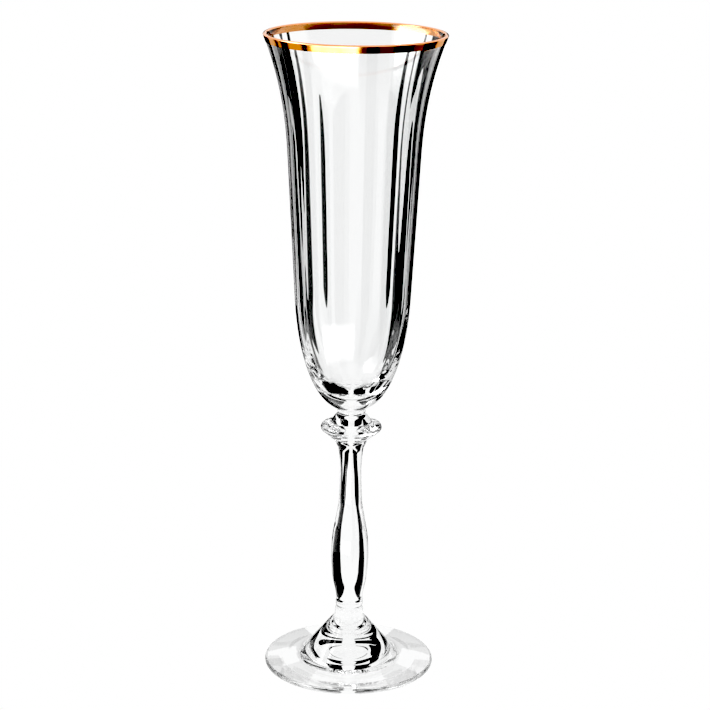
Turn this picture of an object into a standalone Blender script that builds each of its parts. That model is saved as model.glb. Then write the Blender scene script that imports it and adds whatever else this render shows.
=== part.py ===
"""Champagne flute: optic bowl with a gilded rim, weld collar, bladed knop, baluster stem, foot.

Every piece is turned about +Z. The origin is on the surface that the flute stands on, under
the middle of the foot. All sizes are in metres.
"""

from math import ceil, cos, pi, sin, tan

import bpy
from mathutils import Vector

OBJECT_NAME = "champagne_flute"

# Driving dimensions
HEIGHT = 0.250
RIM_RADIUS = 0.0343
FOOT_RADIUS = 0.03335
GAP = 0.0003

# Bowl: a tapered wall that flares at the lip and rounds in at the base
WALL_THICKNESS = 0.0013
WALL_SLOPE = 0.053
BASE_TOP = 0.150
BASE_RADIUS = 0.0221
BASE_BOTTOM = 0.105
CAVITY_BOTTOM = 0.1125
BASE_DEPTH_POWER = 2.15
BASE_WIDTH_POWER = 2.6
FLARE_START = 0.205
FLARE_POWER = 2.2
BASE_POINTS = 9
FLARE_POINTS = 6

# Gold band: an outer skirt that also covers the lip
BAND_HEIGHT = 0.0030
BAND_THICKNESS = 0.0003

# Weld collar between the bowl and the knop
NECK_RADIUS = 0.0056
NECK_TOP = 0.1060
NECK_BOTTOM = 0.1035
NECK_WAIST = 0.0001
NECK_POINTS = 2

# Knop: a blade with a shallow lower cone and a stepped upper cone
KNOP_SEAT_RADIUS = 0.0068
KNOP_SEAT = 0.0930
BLADE_RADIUS = 0.0130
BLADE_HEIGHT = 0.0984
BLADE_ROUNDING = 0.0013
STEP_RADIUS = 0.0079
STEP_HEIGHT = 0.1002
STEP_ROUNDING = 0.0012

# Stem: (radius, height) where the baluster turns, from the knop down to the foot
STEM_OUTLINE = (
    (0.0065, KNOP_SEAT - GAP),
    (0.0047, 0.0885),
    (0.0041, 0.0800),
    (0.0045, 0.0680),
    (0.0056, 0.0610),
    (0.0070, 0.0520),
    (0.00735, 0.0445),
    (0.0069, 0.0365),
    (0.0053, 0.0270),
    (0.0055, 0.0235),
)
STEM_POINTS = 3

# Foot: a straight cone that blends into a thin disc with a round edge and a shallow hollow below
FOOT_TOP = STEM_OUTLINE[-1][1] - GAP
FOOT_NECK_RADIUS = 0.0055
CONE_TOP = 0.0198
CONE_TOP_RADIUS = 0.0058
CONE_TOP_ROUNDING = 0.0030
CONE_BASE = 0.0036
CONE_BASE_RADIUS = 0.0189
CONE_BASE_ROUNDING = 0.0060
EDGE_THICKNESS = 0.0020
REST_INNER_RADIUS = 0.0260
HOLLOW_HEIGHT = 0.0014
HOLLOW_POINTS = 5

# Steps round the axis, the widest step of an arc and its fewest steps
SEGMENTS = 40
ARC_STEP = pi / 10
FEWEST_ARC_STEPS = 2
MERGE_DISTANCE = 0.00001

GLASS_COLOUR = (0.94, 0.95, 0.95, 1.0)
GOLD_COLOUR = (0.80, 0.45, 0.18, 1.0)


def clear_scene():
    """Remove every object of the open scene."""
    for old in list(bpy.data.objects):
        bpy.data.objects.remove(old, do_unlink=True)


def make_collection(name):
    """Add a collection for the flute's pieces."""
    collection = bpy.data.collections.new(name)
    bpy.context.scene.collection.children.link(collection)
    return collection


def make_glass(name):
    """Clear colourless crystal."""
    material = bpy.data.materials.new(name)
    material.use_nodes = True
    shader = material.node_tree.nodes["Principled BSDF"]
    shader.inputs["Base Color"].default_value = GLASS_COLOUR
    shader.inputs["Roughness"].default_value = 0.02
    shader.inputs["Metallic"].default_value = 0.0
    shader.inputs["IOR"].default_value = 1.52
    shader.inputs["Transmission Weight"].default_value = 1.0
    return material


def make_gold(name):
    """Fired rose-gold lustre."""
    material = bpy.data.materials.new(name)
    material.use_nodes = True
    shader = material.node_tree.nodes["Principled BSDF"]
    shader.inputs["Base Color"].default_value = GOLD_COLOUR
    shader.inputs["Roughness"].default_value = 0.15
    shader.inputs["Metallic"].default_value = 1.0
    return material


def fair_curve(stations, parts):
    """Points of a smooth curve through (radius, height) stations, which it never overshoots."""
    slopes = []
    for low, high in zip(stations, stations[1:]):
        slopes.append((high[0] - low[0]) / (high[1] - low[1]))
    tangents = [slopes[0]]
    for before, after in zip(slopes, slopes[1:]):
        turns = before * after <= 0
        tangents.append(0.0 if turns else 2 * before * after / (before + after))
    tangents.append(slopes[-1])
    points = []
    for index, (start, end) in enumerate(zip(stations, stations[1:])):
        span = end[1] - start[1]
        for part in range(parts):
            t = part / parts
            radius = start[0] * (2 * t**3 - 3 * t**2 + 1) + end[0] * (3 * t**2 - 2 * t**3)
            radius += span * tangents[index] * (t**3 - 2 * t**2 + t)
            radius += span * tangents[index + 1] * (t**3 - t**2)
            points.append((radius, start[1] + span * t))
    points.append(stations[-1])
    return points


def rounded_corner(before, corner, after, rounding):
    """Points of the arc that rounds one corner of an outline."""
    corner = Vector(corner)
    towards_before = (Vector(before) - corner).normalized()
    towards_after = (Vector(after) - corner).normalized()
    half_angle = towards_before.angle(towards_after) / 2
    middle = (towards_before + towards_after).normalized()
    centre = corner + middle * (rounding / sin(half_angle))
    start = corner + towards_before * (rounding / tan(half_angle)) - centre
    end = corner + towards_after * (rounding / tan(half_angle)) - centre
    sweep = start.angle_signed(end)
    steps = max(FEWEST_ARC_STEPS, ceil(abs(sweep) / ARC_STEP))
    points = []
    for step in range(steps + 1):
        turn = -sweep * step / steps
        x = start.x * cos(turn) - start.y * sin(turn)
        y = start.x * sin(turn) + start.y * cos(turn)
        points.append((centre.x + x, centre.y + y))
    return points


def wall_radius(height):
    """Radius of the bowl's straight taper at a height."""
    return BASE_RADIUS + WALL_SLOPE * (height - BASE_TOP)


def flare(height):
    """How far the lip stands out from the straight taper."""
    full = RIM_RADIUS - wall_radius(HEIGHT)
    rise = max(0.0, height - FLARE_START) / (HEIGHT - FLARE_START)
    return full * rise**FLARE_POWER


def bowl_side(inset, bottom, top):
    """Outline of one face of the bowl's wall, from the lip down to the middle of its base."""
    points = []
    for step in range(FLARE_POINTS):
        height = top + (FLARE_START - top) * step / FLARE_POINTS
        points.append((wall_radius(height) + flare(height) - inset, height))
    points.append((wall_radius(FLARE_START) - inset, FLARE_START))
    for step in range(BASE_POINTS + 1):
        depth = sin(pi / 2 * step / BASE_POINTS)
        height = BASE_TOP - depth * (BASE_TOP - bottom)
        width = max(0.0, 1 - depth**BASE_DEPTH_POWER) ** (1 / BASE_WIDTH_POWER)
        points.append(((wall_radius(height) - inset) * width, height))
    return points


def bowl_outline():
    """The bowl: up its inner face, over the lip beneath the band, and down its outer face."""
    lip = HEIGHT - BAND_THICKNESS - GAP
    shoulder = HEIGHT - BAND_HEIGHT - GAP
    inner = bowl_side(WALL_THICKNESS, CAVITY_BOTTOM, lip)
    outer = bowl_side(0.0, BASE_BOTTOM, shoulder)
    recess = BAND_THICKNESS + GAP
    lip_radius = wall_radius(lip) + flare(lip) - recess
    shoulder_radius = wall_radius(shoulder) + flare(shoulder) - recess
    points = list(reversed(inner))
    points += [(lip_radius, lip), (shoulder_radius, shoulder)]
    points += [point for point in outer if point[0] > NECK_RADIUS]
    points += [(NECK_RADIUS, NECK_TOP), (0.0, NECK_TOP)]
    return points


def band_outline():
    """The gold band: a closed section with a skirt outside the lip and a flange over it."""
    skirt_bottom = HEIGHT - BAND_HEIGHT
    under = HEIGHT - BAND_THICKNESS
    inner_radius = wall_radius(under) + flare(under) - WALL_THICKNESS
    outer = []
    for height in (HEIGHT, HEIGHT - BAND_HEIGHT / 2, skirt_bottom):
        outer.append((wall_radius(height) + flare(height), height))
    inner = [(radius - BAND_THICKNESS, height) for radius, height in reversed(outer)]
    inner[-1] = (inner[-1][0], under)
    return [(inner_radius, HEIGHT)] + outer + inner + [(inner_radius, under)]


def collar_outline():
    """The weld collar: a short neck with a slight waist."""
    top = NECK_TOP - GAP
    middle = (top + NECK_BOTTOM) / 2
    stations = ((NECK_RADIUS, top), (NECK_RADIUS - NECK_WAIST, middle), (NECK_RADIUS, NECK_BOTTOM))
    return [(0.0, top)] + fair_curve(stations, NECK_POINTS) + [(0.0, NECK_BOTTOM)]


def knop_outline():
    """The bladed knop, from the collar down to the stem."""
    top = (NECK_RADIUS, NECK_BOTTOM - GAP)
    step = (STEP_RADIUS, STEP_HEIGHT)
    blade = (BLADE_RADIUS, BLADE_HEIGHT)
    seat = (KNOP_SEAT_RADIUS, KNOP_SEAT)
    points = [(0.0, top[1]), top]
    points += rounded_corner(top, step, blade, STEP_ROUNDING)
    points += rounded_corner(step, blade, seat, BLADE_ROUNDING)
    return points + [seat, (0.0, KNOP_SEAT)]


def stem_outline():
    """The baluster stem, from the knop down to the foot."""
    top = (0.0, STEM_OUTLINE[0][1])
    bottom = (0.0, STEM_OUTLINE[-1][1])
    return [top] + fair_curve(STEM_OUTLINE, STEM_POINTS) + [bottom]


def foot_outline():
    """The foot: its neck, cone, disc, round edge, flat resting ring and shallow hollow."""
    top = (FOOT_NECK_RADIUS, FOOT_TOP)
    cone_top = (CONE_TOP_RADIUS, CONE_TOP)
    cone_base = (CONE_BASE_RADIUS, CONE_BASE)
    rounding = EDGE_THICKNESS / 2
    edge_start = (FOOT_RADIUS - rounding, EDGE_THICKNESS)
    points = [(0.0, FOOT_TOP), top]
    points += rounded_corner(top, cone_top, cone_base, CONE_TOP_ROUNDING)
    points += rounded_corner(cone_top, cone_base, edge_start, CONE_BASE_ROUNDING)
    edge_steps = ceil(pi / (2 * ARC_STEP))
    for step in range(edge_steps + 1):
        turn = pi / 2 - pi * step / edge_steps
        radius = FOOT_RADIUS - rounding + rounding * cos(turn)
        points.append((radius, rounding + rounding * sin(turn)))
    for step in range(HOLLOW_POINTS + 1):
        radius = REST_INNER_RADIUS * (1 - step / HOLLOW_POINTS)
        rise = 1 - (radius / REST_INNER_RADIUS) ** 2
        points.append((radius, HOLLOW_HEIGHT * rise))
    return points


def turn_piece(name, outline, closed, material, collection):
    """Turn a (radius, height) outline about +Z into one solid."""
    mesh = bpy.data.meshes.new(name)
    points = [(radius, 0.0, height) for radius, height in outline]
    edges = [(index, index + 1) for index in range(len(points) - 1)]
    if closed:
        edges.append((len(points) - 1, 0))
    mesh.from_pydata(points, edges, [])
    mesh.materials.append(material)
    piece = bpy.data.objects.new(name, mesh)
    collection.objects.link(piece)
    screw = piece.modifiers.new("Turn", "SCREW")
    screw.axis = "Z"
    screw.steps = SEGMENTS
    screw.render_steps = SEGMENTS
    screw.use_merge_vertices = True
    screw.merge_threshold = MERGE_DISTANCE
    screw.use_smooth_shade = True
    return piece


def build():
    """Make the flute's pieces, from the rim down to the foot."""
    clear_scene()
    collection = make_collection(OBJECT_NAME)
    flute = bpy.data.objects.new(OBJECT_NAME, None)
    collection.objects.link(flute)
    outlines = {
        "bowl": bowl_outline(),
        "neck_collar": collar_outline(),
        "knop": knop_outline(),
        "stem": stem_outline(),
        "foot": foot_outline(),
    }
    pieces = []
    for name, outline in outlines.items():
        glass = make_glass(name + "_glass")
        pieces.append(turn_piece(name, outline, False, glass, collection))
    gold = make_gold("rim_gold")
    pieces.append(turn_piece("gold_rim_band", band_outline(), True, gold, collection))
    for piece in pieces:
        piece.parent = flute


build()
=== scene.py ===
"""Looks of the champagne flute: fine turned glass, optic ribs, gilded rim, white studio.

Everything is turned about +Z, in metres, in the CAD model's frame.
"""

from math import ceil, cos, exp, pi, radians, sin, sqrt, tan

import bpy
from mathutils import Matrix, Vector


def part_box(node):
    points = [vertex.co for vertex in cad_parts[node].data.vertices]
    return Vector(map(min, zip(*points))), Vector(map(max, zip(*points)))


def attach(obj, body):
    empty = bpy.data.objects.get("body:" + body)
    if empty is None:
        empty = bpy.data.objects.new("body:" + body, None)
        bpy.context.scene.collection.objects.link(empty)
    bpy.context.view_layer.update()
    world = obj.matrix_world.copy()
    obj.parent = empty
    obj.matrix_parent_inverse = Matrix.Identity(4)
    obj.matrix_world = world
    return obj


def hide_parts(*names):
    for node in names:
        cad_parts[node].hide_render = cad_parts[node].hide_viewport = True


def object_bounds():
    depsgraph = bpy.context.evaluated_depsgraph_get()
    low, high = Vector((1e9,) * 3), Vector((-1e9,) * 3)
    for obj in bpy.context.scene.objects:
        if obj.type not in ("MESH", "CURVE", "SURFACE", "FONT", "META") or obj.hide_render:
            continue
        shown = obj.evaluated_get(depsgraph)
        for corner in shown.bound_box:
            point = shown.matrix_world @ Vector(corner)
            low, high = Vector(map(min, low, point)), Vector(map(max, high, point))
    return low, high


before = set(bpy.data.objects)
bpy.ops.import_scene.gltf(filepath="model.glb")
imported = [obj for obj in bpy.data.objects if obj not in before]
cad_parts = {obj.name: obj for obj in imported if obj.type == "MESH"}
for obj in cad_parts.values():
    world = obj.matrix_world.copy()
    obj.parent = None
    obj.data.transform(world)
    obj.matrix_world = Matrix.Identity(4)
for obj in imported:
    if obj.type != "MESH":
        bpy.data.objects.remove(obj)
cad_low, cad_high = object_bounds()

# Sizes that the frame gives
HEIGHT = cad_high.z
RIM_RADIUS = cad_high.x
FOOT_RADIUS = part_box("foot")[1].x
NECK_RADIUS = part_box("neck_collar")[1].x
FOOT_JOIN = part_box("stem")[0].z
STEM_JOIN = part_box("knop")[0].z
KNOP_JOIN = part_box("neck_collar")[0].z
BOWL_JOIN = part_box("bowl")[0].z
BAND_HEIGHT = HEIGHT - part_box("gold_rim_band")[0].z

# Bowl
WALL_THICKNESS = 0.0013
WALL_SLOPE = 0.053
BASE_TOP = 0.150
BASE_RADIUS = 0.0221
BASE_BOTTOM = 0.105
CAVITY_BOTTOM = 0.1125
BASE_DEPTH_POWER = 2.15
BASE_WIDTH_POWER = 2.6
FLARE_START = 0.205
FLARE_POWER = 2.2
FLARE_ROWS = 26
WALL_ROWS = 22
BASE_ROWS = 34

# Optic ribs inside the bowl
RIB_COUNT = 13
RIB_TURN = radians(-4)
RIB_HEIGHT = 0.00009
RIB_SHARPNESS = 2.0
RIB_LOW = 0.112
RIB_FULL_LOW = 0.120
RIB_FULL_HIGH = 0.205
RIB_RIM_SHARE = 0.7
COLUMNS_PER_RIB = 22
# How evenly a rib's columns are spaced; less than 1 packs them closer at its crest
COLUMN_EVENNESS = 0.6

# Lip and gold film
LIP_POINTS = 8
GOLD_GAP = 0.00003
GOLD_THICKNESS = 0.00012
GOLD_ROWS = 10
LIP_HEIGHT = HEIGHT - WALL_THICKNESS / 2 - GOLD_GAP - GOLD_THICKNESS

# Weld collar
NECK_WAIST = 0.0001
NECK_POINTS = 8

# Knop
KNOP_SEAT_RADIUS = 0.0068
BLADE_RADIUS = 0.0130
BLADE_HEIGHT = 0.0984
BLADE_ROUNDING = 0.0013
STEP_RADIUS = 0.0079
STEP_HEIGHT = 0.1002
STEP_ROUNDING = 0.0012

# Stem: (radius, height) where the baluster turns, from the knop down to the foot
STEM_OUTLINE = (
    (0.0065, STEM_JOIN),
    (0.0047, 0.0885),
    (0.0041, 0.0800),
    (0.0045, 0.0680),
    (0.0056, 0.0610),
    (0.0070, 0.0520),
    (0.00735, 0.0445),
    (0.0069, 0.0365),
    (0.0053, 0.0270),
    (0.0055, FOOT_JOIN),
)
STEM_POINTS = 12

# Foot: a cone on a thin disc, with a hollow, a polished button and faint rings underneath
CONE_TOP = 0.0198
CONE_TOP_RADIUS = 0.0058
CONE_TOP_ROUNDING = 0.0030
CONE_BASE = 0.0036
CONE_BASE_RADIUS = 0.0189
CONE_BASE_ROUNDING = 0.0060
EDGE_THICKNESS = 0.0020
EDGE_STEPS = 16
REST_INNER_RADIUS = 0.0260
HOLLOW_HEIGHT = 0.0014
HOLLOW_STEP = 0.0002
BUTTON_RADIUS = 0.0055
BUTTON_DEPTH = 0.0006
WAVE_HEIGHT = 0.00006
WAVE_LENGTH = 0.0040

# Creases where the pieces were welded hot
CREASE_DEPTH = 0.0005
CREASE_WIDTH = 0.0006

# Fineness of the meshes
SEGMENTS = 256
ARC_STEP = radians(4)
FEWEST_ARC_STEPS = 2
LONGEST_STEP = 0.0003
SHARP_ANGLE = radians(35)
ON_AXIS = 1e-7

# Glass finish; the scales are in waves or smears a metre
GLASS_TINT = (0.975, 0.978, 0.978, 1.0)
GLASS_IOR = 1.52
GLASS_WAVE = 0.00002
GLASS_WAVE_SCALE = 90.0
GLASS_SMEAR = 0.01
GLASS_SMEAR_SCALE = 60.0
GLASS_SMEAR_RANGE = (0.5, 0.8)

# Gold finish, from amber below to rose where the lip is worn
GOLD_AMBER = (0.70, 0.31, 0.08, 1.0)
GOLD_ROSE = (0.95, 0.48, 0.28, 1.0)
GOLD_CLOUD_SCALE = 140.0
GOLD_CLOUD_SHARE = 0.5
GOLD_GRAIN_SCALE = 1500.0
GOLD_GRAIN_HEIGHT = 0.00002
GOLD_GRAIN_STRENGTH = 0.25
GOLD_GRAIN_RANGE = (0.3, 0.7)
GOLD_ROUGHNESS = (0.06, 0.16)
GOLD_BLEND = (0.15, 0.95)
WEAR_LOW = HEIGHT - 0.0011
WEAR_HIGH = HEIGHT - 0.0002
WEAR_SHARE = 0.75

# Camera: lens, distance from the flute's axis, height, then pitch, pan and roll in degrees
CAMERA_LENS = 108.2
CAMERA_DISTANCE = 0.7864
CAMERA_HEIGHT = 0.3540
CAMERA_PITCH = 16.12
CAMERA_PAN = 0.082
CAMERA_ROLL = 0.696
SENSOR_WIDTH = 36.0
SIGHT_LIMIT = 20.0

# White room and floor, the darkest level that the picture keeps, and the light's bounces
ROOM_LIGHT = 1.0
FLOOR_RADIUS = 6.0
FLOOR_DROP = 0.0001
BLACK_POINT = 0.12
GLASS_BOUNCES = 32
GLOSSY_BOUNCES = 16

# Upright black cards beside a line of sight past the flute: (its direction in degrees from the
# back towards the right, side, near end).
# They darken the glass's edges, and leave what lies behind the flute white as seen from the
# front and from 45, 90 and 225 degrees.
# From many other directions a card lies behind the bowl and turns it nearly black, which is a
# known fault of this layout.
CARD_LIGHT = 0.003
CARD_OFFSET = 0.055
CARD_TOP = 0.25
CARD_END = 0.60
SIDE_CARDS = ((135, 1, 0.095), (135, -1, 0.095))
# A rising slot across the back cards, through which the foot's cone sees white
SLOT_START = 0.010
SLOT_LOW_SLOPE = 0.32
SLOT_HIGH_SLOPE = 0.54
BACK_CARDS_BELOW_SLOT = ((0, 1, 0.035), (0, -1, 0.068))
BACK_CARDS_ABOVE_SLOT = ((0, 1, 0.035), (0, -1, 0.105))
# The slot is closed up to this distance, beside the flute
CLOSED_END = 0.065
# Shorter cards that stand clear of the floor
RAISED_CARDS = (
    (45, 1, 0.110),
    (90, -1, 0.130),
    (-45, -1, 0.130),
    (-45, 1, 0.120),
    (-90, 1, 0.160),
    (-90, -1, 0.110),
)
RAISED_BOTTOM = 0.06
RAISED_END = 0.40
# A black mat on the floor beside each back card, narrowing away from the flute
MATS = (("mat_left", -1), ("mat_right", 1))
MAT_INNER = 0.032
MAT_NEAR = 0.040
MAT_FAR = 0.200

# Curved panels: (name, light, start, end, near radius, its height, far radius, its height)
# with start and end in degrees from the front towards the right
REFLECTED_PANELS = (
    ("floor_mat", 0.2, 5, 170, 0.08, 0.0, 0.48, 0.0),
    ("floor_strip", 7.0, -66, 5, 0.16, 0.0, 0.34, 0.0),
)
OVERHEAD_PANELS = (
    ("overhead_card", 0.2, -57, 78, 0.45, 0.30, 0.45, 0.86),
    ("upper_softbox", 6.0, -118, -60, 0.45, 0.28, 0.45, 0.86),
)
# The widest step round a panel in degrees, and the share of its width that fades at each edge
PANEL_STEP = 4
PANEL_FADE = 0.3


def fair_curve(stations, parts):
    """Points of a smooth curve through (radius, height) stations, which it never overshoots."""
    slopes = []
    for low, high in zip(stations, stations[1:]):
        slopes.append((high[0] - low[0]) / (high[1] - low[1]))
    tangents = [slopes[0]]
    for before, after in zip(slopes, slopes[1:]):
        turns = before * after <= 0
        tangents.append(0.0 if turns else 2 * before * after / (before + after))
    tangents.append(slopes[-1])
    points = []
    for index, (start, end) in enumerate(zip(stations, stations[1:])):
        span = end[1] - start[1]
        for part in range(parts):
            t = part / parts
            radius = start[0] * (2 * t**3 - 3 * t**2 + 1) + end[0] * (3 * t**2 - 2 * t**3)
            radius += span * tangents[index] * (t**3 - 2 * t**2 + t)
            radius += span * tangents[index + 1] * (t**3 - t**2)
            points.append((radius, start[1] + span * t))
    points.append(stations[-1])
    return points


def rounded_corner(before, corner, after, rounding):
    """Points of the arc that rounds one corner of an outline."""
    corner = Vector(corner)
    towards_before = (Vector(before) - corner).normalized()
    towards_after = (Vector(after) - corner).normalized()
    half_angle = towards_before.angle(towards_after) / 2
    middle = (towards_before + towards_after).normalized()
    centre = corner + middle * (rounding / sin(half_angle))
    start = corner + towards_before * (rounding / tan(half_angle)) - centre
    end = corner + towards_after * (rounding / tan(half_angle)) - centre
    sweep = start.angle_signed(end)
    steps = max(FEWEST_ARC_STEPS, ceil(abs(sweep) / ARC_STEP))
    points = []
    for step in range(steps + 1):
        turn = -sweep * step / steps
        x = start.x * cos(turn) - start.y * sin(turn)
        y = start.x * sin(turn) + start.y * cos(turn)
        points.append((centre.x + x, centre.y + y))
    return points


def creased(points, joins):
    """The same outline, drawn in a little at each weld."""
    drawn = []
    for radius, height in points:
        crease = 0.0
        for join in joins:
            crease += CREASE_DEPTH * exp(-(((height - join) / CREASE_WIDTH) ** 2))
        drawn.append((max(0.0, radius - crease), height))
    return drawn


def filled(points):
    """The same outline with extra points on its long straight stretches."""
    dense = [points[0]]
    for start, end in zip(points, points[1:]):
        length = sqrt((end[0] - start[0]) ** 2 + (end[1] - start[1]) ** 2)
        parts = max(1, ceil(length / LONGEST_STEP))
        for part in range(1, parts + 1):
            share = part / parts
            radius = start[0] + (end[0] - start[0]) * share
            dense.append((radius, start[1] + (end[1] - start[1]) * share))
    return dense


def smooth_step(low, high, value):
    """0 below low, 1 above high, and an even ease between them."""
    share = min(1.0, max(0.0, (value - low) / (high - low)))
    return share * share * (3 - 2 * share)


def wall_radius(height):
    """Radius of the bowl's straight taper at a height."""
    return BASE_RADIUS + WALL_SLOPE * (height - BASE_TOP)


def flare(height):
    """How far the lip stands out from the straight taper."""
    full = RIM_RADIUS - wall_radius(HEIGHT)
    rise = max(0.0, height - FLARE_START) / (HEIGHT - FLARE_START)
    return full * rise**FLARE_POWER


def bowl_side(inset, bottom, top):
    """Outline of one face of the bowl's wall, from the lip down to the middle of its base."""
    points = []
    for step in range(FLARE_ROWS):
        height = top + (FLARE_START - top) * step / FLARE_ROWS
        points.append((wall_radius(height) + flare(height) - inset, height))
    for step in range(WALL_ROWS):
        height = FLARE_START + (BASE_TOP - FLARE_START) * step / WALL_ROWS
        points.append((wall_radius(height) - inset, height))
    for step in range(BASE_ROWS + 1):
        depth = sin(pi / 2 * step / BASE_ROWS)
        height = BASE_TOP - depth * (BASE_TOP - bottom)
        width = max(0.0, 1 - depth**BASE_DEPTH_POWER) ** (1 / BASE_WIDTH_POWER)
        points.append(((wall_radius(height) - inset) * width, height))
    return points


def lip_arc(grow):
    """Outline over the rounded lip, from inside to outside, grown outwards by a small amount."""
    half = WALL_THICKNESS / 2
    middle = RIM_RADIUS - GOLD_GAP - GOLD_THICKNESS - half
    points = []
    for step in range(1, LIP_POINTS):
        turn = pi - pi * step / LIP_POINTS
        radius = middle + (half + grow) * cos(turn)
        points.append((radius, LIP_HEIGHT + (half + grow) * sin(turn)))
    return points


def rib_height(height):
    """Height of an optic rib at a height on the wall."""
    rise = smooth_step(RIB_LOW, RIB_FULL_LOW, height)
    fade = 1 - (1 - RIB_RIM_SHARE) * smooth_step(RIB_FULL_HIGH, HEIGHT, height)
    return RIB_HEIGHT * rise * fade


def rib_columns():
    """Angles of the bowl's columns, and each one's angle from its nearest rib."""
    columns = []
    half_pitch = pi / RIB_COUNT
    for rib in range(RIB_COUNT):
        for column in range(COLUMNS_PER_RIB):
            share = 2 * column / COLUMNS_PER_RIB - 1
            spread = COLUMN_EVENNESS + (1 - COLUMN_EVENNESS) * abs(share)
            offset = half_pitch * share * spread
            columns.append((RIB_TURN + rib * 2 * half_pitch + offset, offset))
    return columns


def even_columns():
    """Angles of an evenly turned piece's columns."""
    return [(2 * pi * column / SEGMENTS, 0.0) for column in range(SEGMENTS)]


def turned_mesh(name, outline, columns, looped=False, ribbed=(), welds=()):
    """Turn an outline about +Z. Points in ribbed carry ribs, and steps in welds are weld faces."""
    mesh = bpy.data.meshes.new(name)
    vertices = []
    rows = []
    for index, (radius, height) in enumerate(outline):
        if radius < ON_AXIS:
            rows.append([len(vertices)])
            vertices.append((0.0, 0.0, height))
            continue
        rows.append(range(len(vertices), len(vertices) + len(columns)))
        crest = rib_height(height) if index in ribbed else 0.0
        for angle, offset in columns:
            rib = crest * (0.5 + 0.5 * cos(RIB_COUNT * offset)) ** RIB_SHARPNESS
            around = radius - rib
            vertices.append((around * sin(angle), -around * cos(angle), height))
    faces = []
    face_slots = []
    pairs = list(zip(rows, rows[1:]))
    if looped:
        pairs.append((rows[-1], rows[0]))
    for index, (upper, lower) in enumerate(pairs):
        for column in range(len(columns)):
            following = (column + 1) % len(columns)
            if len(upper) == 1:
                face = (upper[0], lower[column], lower[following])
            elif len(lower) == 1:
                face = (upper[column], lower[0], upper[following])
            else:
                face = (upper[column], lower[column], lower[following], upper[following])
            faces.append(face)
            face_slots.append(1 if index in welds else 0)
    mesh.from_pydata(vertices, [], faces)
    mesh.polygons.foreach_set("material_index", face_slots)
    mesh.shade_smooth()
    mesh.set_sharp_from_angle(angle=SHARP_ANGLE)
    mesh.update()
    return mesh


def make_piece(name, node, mesh, materials):
    """Make one piece of the flute, which stands for a CAD node."""
    for material in materials:
        mesh.materials.append(material)
    piece = bpy.data.objects.new(name, mesh)
    bpy.context.scene.collection.objects.link(piece)
    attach(piece, "root")
    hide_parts(node)
    return piece


def math_node(tree, operation, *values):
    """Add a Math node with sockets or plain numbers as its inputs, and return its output."""
    node = tree.nodes.new("ShaderNodeMath")
    node.operation = operation
    for socket, value in zip(node.inputs, values):
        if isinstance(value, bpy.types.NodeSocket):
            tree.links.new(value, socket)
        else:
            socket.default_value = value
    return node.outputs[0]


def noise_node(tree, place, scale, detail):
    """Add a noise texture at a place, and return its value."""
    node = tree.nodes.new("ShaderNodeTexNoise")
    node.inputs["Scale"].default_value = scale
    node.inputs["Detail"].default_value = detail
    tree.links.new(place, node.inputs["Vector"])
    return node.outputs["Fac"]


def range_node(tree, value, low, high, new_low, new_high):
    """Map a value from one range to another, and clamp it there."""
    node = tree.nodes.new("ShaderNodeMapRange")
    tree.links.new(value, node.inputs["Value"])
    node.inputs["From Min"].default_value = low
    node.inputs["From Max"].default_value = high
    node.inputs["To Min"].default_value = new_low
    node.inputs["To Max"].default_value = new_high
    return node.outputs["Result"]


def glass_material(name):
    """Clear crystal with faint waves and smears."""
    material = bpy.data.materials.new(name)
    material.use_nodes = True
    tree = material.node_tree
    shader = tree.nodes["Principled BSDF"]
    shader.inputs["Base Color"].default_value = GLASS_TINT
    shader.inputs["IOR"].default_value = GLASS_IOR
    shader.inputs["Transmission Weight"].default_value = 1.0
    place = tree.nodes.new("ShaderNodeTexCoord").outputs["Object"]
    smear = noise_node(tree, place, GLASS_SMEAR_SCALE, 3.0)
    rough = range_node(tree, smear, *GLASS_SMEAR_RANGE, 0.0, GLASS_SMEAR)
    tree.links.new(rough, shader.inputs["Roughness"])
    bump = tree.nodes.new("ShaderNodeBump")
    bump.inputs["Strength"].default_value = 1.0
    bump.inputs["Distance"].default_value = GLASS_WAVE
    wave = noise_node(tree, place, GLASS_WAVE_SCALE, 1.0)
    tree.links.new(wave, bump.inputs["Height"])
    tree.links.new(bump.outputs["Normal"], shader.inputs["Normal"])
    return material


def weld_material():
    """A hot weld inside the glass, which light passes straight through."""
    material = bpy.data.materials.new("hot_weld")
    material.use_nodes = True
    nodes = material.node_tree.nodes
    nodes.remove(nodes["Principled BSDF"])
    clear = nodes.new("ShaderNodeBsdfTransparent")
    material.node_tree.links.new(clear.outputs[0], nodes["Material Output"].inputs["Surface"])
    return material


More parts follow.
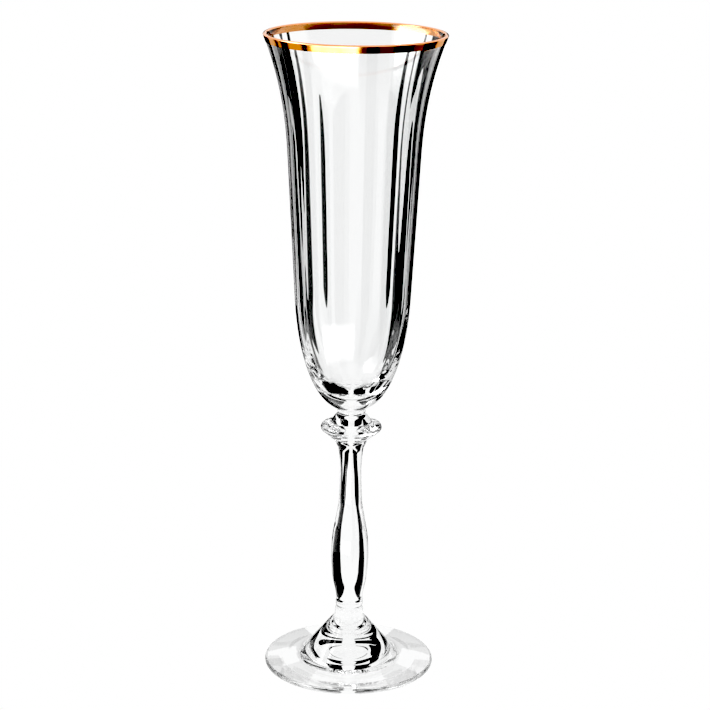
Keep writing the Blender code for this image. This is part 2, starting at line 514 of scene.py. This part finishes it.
def gold_material():
    """Fired rose-gold lustre: cloudy and grained, amber below and rosier at the worn lip."""
    material = bpy.data.materials.new("rose_gold_lustre")
    material.use_nodes = True
    tree = material.node_tree
    shader = tree.nodes["Principled BSDF"]
    shader.inputs["Metallic"].default_value = 1.0
    place = tree.nodes.new("ShaderNodeTexCoord").outputs["Object"]
    cloud = noise_node(tree, place, GOLD_CLOUD_SCALE, 3.0)
    grain = noise_node(tree, place, GOLD_GRAIN_SCALE, 2.0)
    split = tree.nodes.new("ShaderNodeSeparateXYZ")
    tree.links.new(place, split.inputs[0])
    worn = range_node(tree, split.outputs["Z"], WEAR_LOW, WEAR_HIGH, 0.0, WEAR_SHARE)
    clouded = math_node(tree, "MULTIPLY", cloud, GOLD_CLOUD_SHARE)
    blend = math_node(tree, "ADD", worn, clouded)
    ramp = tree.nodes.new("ShaderNodeValToRGB")
    for stop, position, colour in zip(ramp.color_ramp.elements, GOLD_BLEND, (GOLD_AMBER, GOLD_ROSE)):
        stop.position = position
        stop.color = colour
    tree.links.new(blend, ramp.inputs["Fac"])
    tree.links.new(ramp.outputs["Color"], shader.inputs["Base Color"])
    rough = range_node(tree, grain, *GOLD_GRAIN_RANGE, *GOLD_ROUGHNESS)
    tree.links.new(rough, shader.inputs["Roughness"])
    bump = tree.nodes.new("ShaderNodeBump")
    bump.inputs["Strength"].default_value = GOLD_GRAIN_STRENGTH
    bump.inputs["Distance"].default_value = GOLD_GRAIN_HEIGHT
    tree.links.new(grain, bump.inputs["Height"])
    tree.links.new(bump.outputs["Normal"], shader.inputs["Normal"])
    return material


def make_bowl(glass, weld):
    """The bowl, with optic ribs on its inner face and a rounded lip."""
    inner = bowl_side(WALL_THICKNESS, CAVITY_BOTTOM, LIP_HEIGHT)
    inner.reverse()
    outer = bowl_side(0.0, BASE_BOTTOM, LIP_HEIGHT)
    outer = [point for point in outer if point[0] > NECK_RADIUS]
    neck = creased(filled([outer.pop(), (NECK_RADIUS, BOWL_JOIN)]), (BOWL_JOIN,))
    outline = inner + lip_arc(0.0) + outer + neck + [(0.0, BOWL_JOIN)]
    ribbed = range(len(inner))
    mesh = turned_mesh("bowl", outline, rib_columns(), ribbed=ribbed, welds=[len(outline) - 2])
    return make_piece("optic_bowl", "bowl", mesh, [glass, weld])


def make_collar(glass, weld):
    """The short neck between the bowl and the knop, with a slight waist."""
    waist = (NECK_RADIUS - NECK_WAIST, (BOWL_JOIN + KNOP_JOIN) / 2)
    stations = ((NECK_RADIUS, BOWL_JOIN), waist, (NECK_RADIUS, KNOP_JOIN))
    side = creased(fair_curve(stations, NECK_POINTS), (BOWL_JOIN, KNOP_JOIN))
    outline = [(0.0, BOWL_JOIN)] + side + [(0.0, KNOP_JOIN)]
    mesh = turned_mesh("collar", outline, even_columns(), welds=[0, len(outline) - 2])
    return make_piece("weld_collar", "neck_collar", mesh, [glass, weld])


def make_knop(glass, weld):
    """The bladed knop, with a stepped upper cone and a shallow lower one."""
    top = (NECK_RADIUS, KNOP_JOIN)
    step = (STEP_RADIUS, STEP_HEIGHT)
    blade = (BLADE_RADIUS, BLADE_HEIGHT)
    seat = (KNOP_SEAT_RADIUS, STEM_JOIN)
    side = [top]
    side += rounded_corner(top, step, blade, STEP_ROUNDING)
    side += rounded_corner(step, blade, seat, BLADE_ROUNDING)
    side += [seat]
    side = creased(filled(side), (KNOP_JOIN, STEM_JOIN))
    outline = [(0.0, KNOP_JOIN)] + side + [(0.0, STEM_JOIN)]
    mesh = turned_mesh("knop", outline, even_columns(), welds=[0, len(outline) - 2])
    return make_piece("bladed_knop", "knop", mesh, [glass, weld])


def make_stem(glass, weld):
    """The baluster stem."""
    side = creased(filled(fair_curve(STEM_OUTLINE, STEM_POINTS)), (STEM_JOIN, FOOT_JOIN))
    outline = [(0.0, STEM_JOIN)] + side + [(0.0, FOOT_JOIN)]
    mesh = turned_mesh("stem", outline, even_columns(), welds=[0, len(outline) - 2])
    return make_piece("baluster_stem", "stem", mesh, [glass, weld])


def hollow_height(radius):
    """Height of the underside: a shallow hollow with faint rings round a polished button."""
    share = radius / REST_INNER_RADIUS
    hollow = HOLLOW_HEIGHT * (1 - share**2)
    button = BUTTON_DEPTH * max(0.0, 1 - (radius / BUTTON_RADIUS) ** 2)
    ripple = WAVE_HEIGHT * (0.5 - 0.5 * cos(2 * pi * (radius - BUTTON_RADIUS) / WAVE_LENGTH))
    fade = smooth_step(BUTTON_RADIUS, BUTTON_RADIUS + WAVE_LENGTH / 2, radius) * (1 - share**4)
    return hollow + button + ripple * fade


def make_foot(glass, weld):
    """The foot: its cone, disc, round edge and hollow underside."""
    top = (STEM_OUTLINE[-1][0], FOOT_JOIN)
    cone_top = (CONE_TOP_RADIUS, CONE_TOP)
    cone_base = (CONE_BASE_RADIUS, CONE_BASE)
    rounding = EDGE_THICKNESS / 2
    edge_start = (FOOT_RADIUS - rounding, EDGE_THICKNESS)
    side = [top]
    side += rounded_corner(top, cone_top, cone_base, CONE_TOP_ROUNDING)
    side += rounded_corner(cone_top, cone_base, edge_start, CONE_BASE_ROUNDING)
    for step in range(EDGE_STEPS + 1):
        turn = pi / 2 - pi * step / EDGE_STEPS
        radius = FOOT_RADIUS - rounding + rounding * cos(turn)
        side.append((radius, rounding + rounding * sin(turn)))
    hollow_steps = round(REST_INNER_RADIUS / HOLLOW_STEP)
    for step in range(hollow_steps + 1):
        radius = REST_INNER_RADIUS * (1 - step / hollow_steps)
        side.append((radius, hollow_height(radius)))
    outline = [(0.0, FOOT_JOIN)] + creased(filled(side), (FOOT_JOIN,))
    mesh = turned_mesh("foot", outline, even_columns(), welds=[0])
    return make_piece("foot_disc", "foot", mesh, [glass, weld])


def make_gold(gold):
    """The gold film: a skirt outside the lip, and over the lip to its inner edge."""
    near = []
    far = []
    for step in range(GOLD_ROWS + 1):
        height = LIP_HEIGHT + (HEIGHT - BAND_HEIGHT - LIP_HEIGHT) * step / GOLD_ROWS
        radius = wall_radius(height) + flare(height)
        near.append((radius + GOLD_GAP, height))
        far.append((radius + GOLD_GAP + GOLD_THICKNESS, height))
    outline = lip_arc(GOLD_GAP + GOLD_THICKNESS) + far
    outline += list(reversed(lip_arc(GOLD_GAP) + near))
    mesh = turned_mesh("gold", outline, rib_columns(), looped=True)
    return make_piece("gold_rim", "gold_rim_band", mesh, [gold])


def glow_material(name, light):
    """A plain even glow, which is nearly black where the light is low."""
    material = bpy.data.materials.new(name)
    material.use_nodes = True
    tree = material.node_tree
    tree.nodes.remove(tree.nodes["Principled BSDF"])
    glow = tree.nodes.new("ShaderNodeEmission")
    glow.inputs["Strength"].default_value = light
    tree.links.new(glow.outputs[0], tree.nodes["Material Output"].inputs["Surface"])
    return material


def card_column(card, along):
    """Place of a card's upright edge beside its view, and its distance from the flute's axis."""
    view, side, near = card
    turn = radians(view)
    x = along * sin(turn) + side * CARD_OFFSET * cos(turn)
    y = along * cos(turn) - side * CARD_OFFSET * sin(turn)
    return x, y, sqrt(x * x + y * y)


def make_card(name, card, end, bottom, top, material):
    """One upright card. Its bottom and top are heights at a distance from the flute."""
    columns = [card_column(card, card[2]), card_column(card, end)]
    corners = [(x, y, bottom(reach)) for x, y, reach in columns]
    corners += [(x, y, top(reach)) for x, y, reach in reversed(columns)]
    make_panel(name, corners, material)


def make_panel(name, corners, material):
    """A flat panel of the studio."""
    mesh = bpy.data.meshes.new(name)
    mesh.from_pydata(corners, [], [range(len(corners))])
    place_panel(name, mesh, material)


def place_panel(name, mesh, material):
    """Put a panel in the studio, where only the glass and the gold see it."""
    mesh.materials.append(material)
    panel = bpy.data.objects.new(name, mesh)
    bpy.context.scene.collection.objects.link(panel)
    panel.visible_camera = False
    panel.visible_diffuse = False
    panel.visible_shadow = False
    return panel


def floor_height(reach):
    """Bottom of a card that stands on the floor."""
    return 0.0


def raised_height(reach):
    """Bottom of a card that stands clear of the floor."""
    return RAISED_BOTTOM


def top_height(reach):
    """Top of a card."""
    return CARD_TOP


def slot_bottom(reach):
    """Lower edge of the back cards' slot, which rises away from the flute."""
    return SLOT_START + SLOT_LOW_SLOPE * reach


def slot_top(reach):
    """Upper edge of the back cards' slot."""
    return SLOT_START + SLOT_HIGH_SLOPE * reach


def above_slot(reach):
    """Top of a back card, which is nowhere below the slot."""
    return max(CARD_TOP, slot_top(reach))


def make_cards():
    """Upright black cards round the flute, out of the camera's sight."""
    black = glow_material("black_card", CARD_LIGHT)
    for index, card in enumerate(BACK_CARDS_BELOW_SLOT):
        make_card(f"low_card_{index}", card, CARD_END, floor_height, slot_bottom, black)
    for index, card in enumerate(BACK_CARDS_ABOVE_SLOT):
        make_card(f"high_card_{index}", card, CARD_END, slot_top, above_slot, black)
        if card[2] < CLOSED_END:
            make_card(f"near_card_{index}", card, CLOSED_END, floor_height, top_height, black)
    for index, card in enumerate(SIDE_CARDS):
        make_card(f"side_card_{index}", card, CARD_END, floor_height, top_height, black)
    for index, card in enumerate(RAISED_CARDS):
        make_card(f"raised_card_{index}", card, RAISED_END, raised_height, top_height, black)
    for name, side in MATS:
        inner = (side * MAT_INNER, MAT_NEAR, 0.0)
        outer = (side * CARD_OFFSET, MAT_NEAR, 0.0)
        far = (side * CARD_OFFSET, MAT_FAR, 0.0)
        make_panel(name, [inner, outer, far], black)


def make_curved_panel(name, light, start, end, near, near_height, far, far_height):
    """A panel curved round the flute's axis, whose light fades into the white room at its edges."""
    steps = ceil((end - start) / PANEL_STEP)
    points = []
    lights = []
    for across in (0.0, PANEL_FADE, 1 - PANEL_FADE, 1.0):
        radius = near + (far - near) * across
        height = near_height + (far_height - near_height) * across
        for step in range(steps + 1):
            turn = radians(start + (end - start) * step / steps)
            points.append((radius * sin(turn), -radius * cos(turn), height))
            edge = across in (0.0, 1.0) or step in (0, steps)
            lights.append(ROOM_LIGHT if edge else light)
    row = steps + 1
    faces = []
    for corner in range(len(points) - row):
        if (corner + 1) % row:
            faces.append((corner, corner + 1, corner + row + 1, corner + row))
    mesh = bpy.data.meshes.new(name)
    mesh.from_pydata(points, [], faces)
    strength = mesh.attributes.new("light", "FLOAT", "POINT")
    strength.data.foreach_set("value", lights)
    material = glow_material(name, light)
    tree = material.node_tree
    painted = tree.nodes.new("ShaderNodeAttribute")
    painted.attribute_name = "light"
    tree.links.new(painted.outputs["Fac"], tree.nodes["Emission"].inputs["Strength"])
    return place_panel(name, mesh, material)


def make_curved_panels():
    """Panels for the gold's darks and highlights. Only reflections see those on the floor."""
    for panel in OVERHEAD_PANELS:
        make_curved_panel(*panel)
    for panel in REFLECTED_PANELS:
        make_curved_panel(*panel).visible_transmission = False


def make_world():
    """A room that is white all round."""
    world = bpy.data.worlds.new("studio")
    world.use_nodes = True
    background = world.node_tree.nodes["Background"]
    background.inputs["Color"].default_value = (1.0, 1.0, 1.0, 1.0)
    background.inputs["Strength"].default_value = ROOM_LIGHT
    bpy.context.scene.world = world


def make_floor():
    """A round white floor, just under the foot."""
    mesh = bpy.data.meshes.new("floor")
    corners = []
    for step in range(SEGMENTS):
        turn = 2 * pi * step / SEGMENTS
        corners.append((FLOOR_RADIUS * cos(turn), FLOOR_RADIUS * sin(turn), -FLOOR_DROP))
    mesh.from_pydata(corners, [], [range(SEGMENTS)])
    mesh.materials.append(glow_material("white_floor", ROOM_LIGHT))
    floor = bpy.data.objects.new("floor", mesh)
    bpy.context.scene.collection.objects.link(floor)


def make_camera():
    """The camera, at the photo's angle."""
    data = bpy.data.cameras.new("camera")
    data.lens = CAMERA_LENS
    data.sensor_width = SENSOR_WIDTH
    data.clip_end = SIGHT_LIMIT
    camera = bpy.data.objects.new("camera", data)
    bpy.context.scene.collection.objects.link(camera)
    pan = Matrix.Rotation(-radians(CAMERA_PAN), 4, "Z")
    tilt = Matrix.Rotation(radians(90 - CAMERA_PITCH), 4, "X")
    roll = Matrix.Rotation(radians(CAMERA_ROLL), 4, "Z")
    place = Matrix.Translation((0.0, -CAMERA_DISTANCE, CAMERA_HEIGHT))
    camera.matrix_world = place @ pan @ tilt @ roll
    bpy.context.scene.camera = camera


def set_render_look():
    """A hard contrast, and enough bounces for thick glass."""
    scene = bpy.context.scene
    scene.view_settings.view_transform = "Standard"
    scene.view_settings.look = "None"
    scene.view_settings.use_curve_mapping = True
    curve = scene.view_settings.curve_mapping
    curve.black_level = (BLACK_POINT, BLACK_POINT, BLACK_POINT)
    curve.update()
    scene.cycles.max_bounces = GLASS_BOUNCES
    scene.cycles.transmission_bounces = GLASS_BOUNCES
    scene.cycles.transparent_max_bounces = GLASS_BOUNCES
    scene.cycles.glossy_bounces = GLOSSY_BOUNCES


make_camera()
make_world()
make_floor()
make_cards()
make_curved_panels()
set_render_look()
clear_glass = glass_material("clear_glass")
hot_weld = weld_material()
rose_gold = gold_material()
make_bowl(clear_glass, hot_weld)
make_collar(clear_glass, hot_weld)
make_knop(clear_glass, hot_weld)
make_stem(clear_glass, hot_weld)
make_foot(clear_glass, hot_weld)
make_gold(rose_gold)
